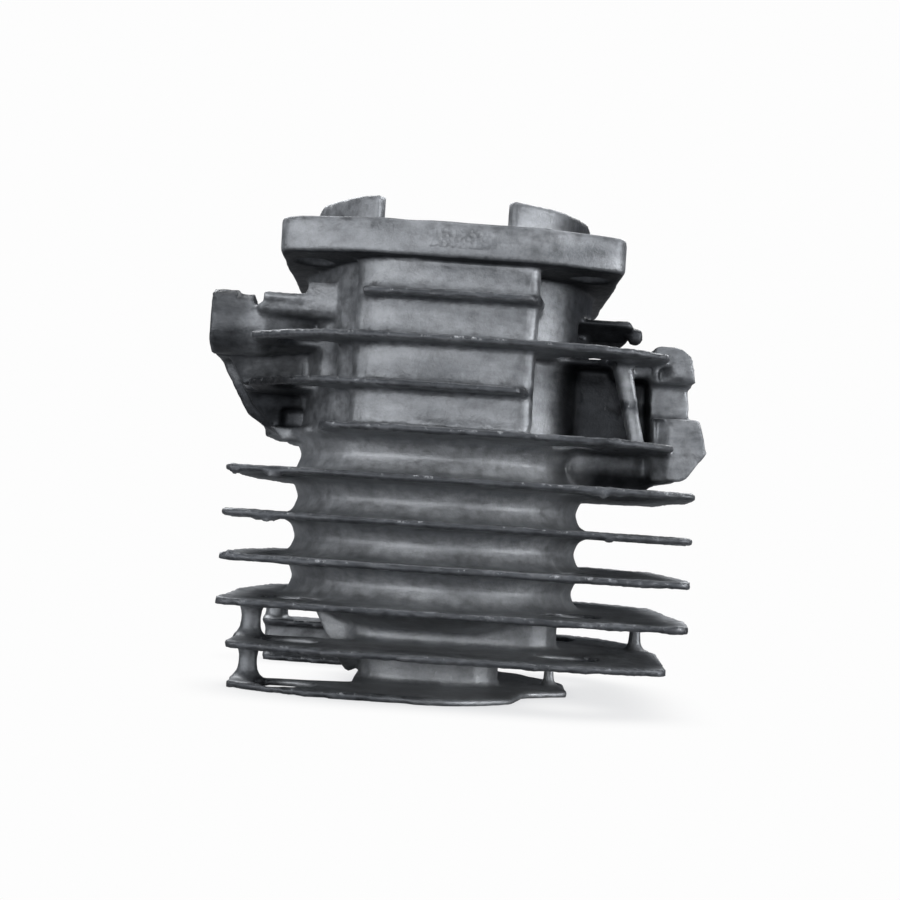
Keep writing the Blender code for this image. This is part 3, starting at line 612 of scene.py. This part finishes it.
# ---- piston --------------------------------------------------------------------------------------
# Turned from a silicon aluminium casting: a bright fine lay runs round the skirt, some 0.3 mm apart,
# and the crown keeps a dry grey film from burning.
turned_alloy = bpy.data.materials.new("fine_turned_aluminium")
turned_alloy.use_nodes = True
tree = turned_alloy.node_tree
metal = tree.nodes["Principled BSDF"]
place = node(tree, "ShaderNodeTexCoord")
lay = node(
    tree,
    "ShaderNodeTexWave",
    {"wave_type": "BANDS", "bands_direction": "Z", "Scale": 1050.0, "Distortion": 1.5, "Detail": 2.0},
    {"Vector": place.outputs["Object"]},
)
film = node(tree, "ShaderNodeTexNoise", {"Scale": 160.0, "Detail": 4.0}, {"Vector": place.outputs["Object"]})
tone = node(tree, "ShaderNodeValToRGB", (), {"Fac": film.outputs["Fac"]})
tone.color_ramp.elements[0].position, tone.color_ramp.elements[0].color = 0.35, linear("#a4a5a8")
tone.color_ramp.elements[1].position, tone.color_ramp.elements[1].color = 0.65, linear("#c8c9cb")
tree.links.new(tone.outputs[0], metal.inputs["Base Color"])
rough = node(tree, "ShaderNodeMapRange", {3: 0.26, 4: 0.42}, {0: film.outputs["Fac"]})
tree.links.new(rough.outputs[0], metal.inputs["Roughness"])
relief = node(tree, "ShaderNodeBump", {"Strength": 0.35, "Distance": 0.00008}, {"Height": lay.outputs["Fac"]})
tree.links.new(relief.outputs[0], metal.inputs["Normal"])
metal.inputs["Metallic"].default_value = 1.0
frame["nodes"]["piston"].data.materials.clear()
frame["nodes"]["piston"].data.materials.append(turned_alloy)

# ---- piston rings --------------------------------------------------------------------------------
# Two rings of phosphated grey cast iron, sprung into their grooves: a dark crystalline coat.
phosphated = bpy.data.materials.new("phosphated_cast_iron")
phosphated.use_nodes = True
tree = phosphated.node_tree
metal = tree.nodes["Principled BSDF"]
place = node(tree, "ShaderNodeTexCoord")
crystal = node(tree, "ShaderNodeTexVoronoi", {"Scale": 2500.0}, {"Vector": place.outputs["Object"]})
tone = node(tree, "ShaderNodeValToRGB", (), {"Fac": crystal.outputs["Distance"]})
tone.color_ramp.elements[0].color = linear("#3c3d3f")
tone.color_ramp.elements[1].color = linear("#626467")
tree.links.new(tone.outputs[0], metal.inputs["Base Color"])
rough = node(tree, "ShaderNodeMapRange", {3: 0.40, 4: 0.60}, {0: crystal.outputs["Distance"]})
tree.links.new(rough.outputs[0], metal.inputs["Roughness"])
crystals = {"Height": crystal.outputs["Distance"]}
relief = node(tree, "ShaderNodeBump", {"Strength": 0.3, "Distance": 0.00004}, crystals)
tree.links.new(relief.outputs[0], metal.inputs["Normal"])
metal.inputs["Metallic"].default_value = 0.9
for name in ("piston_ring_upper", "piston_ring_lower"):
    frame["nodes"][name].data.materials.clear()
    frame["nodes"][name].data.materials.append(phosphated)

# ---- gudgeon pin and ring pegs -------------------------------------------------------------------
# Case-hardened steel tube, ground to size and floating in the piston's bosses, and the two small
# steel pegs pressed into the ring grooves. Grinding leaves fine scratches round them.
ground_steel = bpy.data.materials.new("ground_hardened_steel")
ground_steel.use_nodes = True
tree = ground_steel.node_tree
metal = tree.nodes["Principled BSDF"]
place = node(tree, "ShaderNodeTexCoord")
along = node(tree, "ShaderNodeMapping", {"Scale": (1.0, 12.0, 1.0)}, {"Vector": place.outputs["Object"]})
scratch = node(tree, "ShaderNodeTexNoise", {"Scale": 900.0, "Detail": 3.0}, {"Vector": along.outputs[0]})
tone = node(tree, "ShaderNodeValToRGB", (), {"Fac": scratch.outputs["Fac"]})
tone.color_ramp.elements[0].color = linear("#8f9296")
tone.color_ramp.elements[1].color = linear("#c9cbce")
tree.links.new(tone.outputs[0], metal.inputs["Base Color"])
rough = node(tree, "ShaderNodeMapRange", {3: 0.16, 4: 0.30}, {0: scratch.outputs["Fac"]})
tree.links.new(rough.outputs[0], metal.inputs["Roughness"])
scratches = {"Height": scratch.outputs["Fac"]}
relief = node(tree, "ShaderNodeBump", {"Strength": 0.2, "Distance": 0.00003}, scratches)
tree.links.new(relief.outputs[0], metal.inputs["Normal"])
metal.inputs["Metallic"].default_value = 1.0
for name in ("gudgeon_pin", "ring_peg_upper", "ring_peg_lower"):
    frame["nodes"][name].data.materials.clear()
    frame["nodes"][name].data.materials.append(ground_steel)

# ---- circlips ------------------------------------------------------------------------------------
# Round spring wire snapped into a groove at each end of the pin, blued in tempering and oiled.
tempered = bpy.data.materials.new("oil_tempered_wire")
tempered.use_nodes = True
tree = tempered.node_tree
metal = tree.nodes["Principled BSDF"]
place = node(tree, "ShaderNodeTexCoord")
here = {"Vector": place.outputs["Object"]}
bluing = node(tree, "ShaderNodeTexNoise", {"Scale": 420.0, "Detail": 3.0}, here)
tone = node(tree, "ShaderNodeValToRGB", (), {"Fac": bluing.outputs["Fac"]})
tone.color_ramp.elements[0].color = linear("#2c2f36")
tone.color_ramp.elements[1].color = linear("#5a5d63")
tree.links.new(tone.outputs[0], metal.inputs["Base Color"])
rough = node(tree, "ShaderNodeMapRange", {3: 0.22, 4: 0.40}, {0: bluing.outputs["Fac"]})
tree.links.new(rough.outputs[0], metal.inputs["Roughness"])
metal.inputs["Metallic"].default_value = 1.0
for name in ("circlip_front", "circlip_back"):
    frame["nodes"][name].data.materials.clear()
    frame["nodes"][name].data.materials.append(tempered)
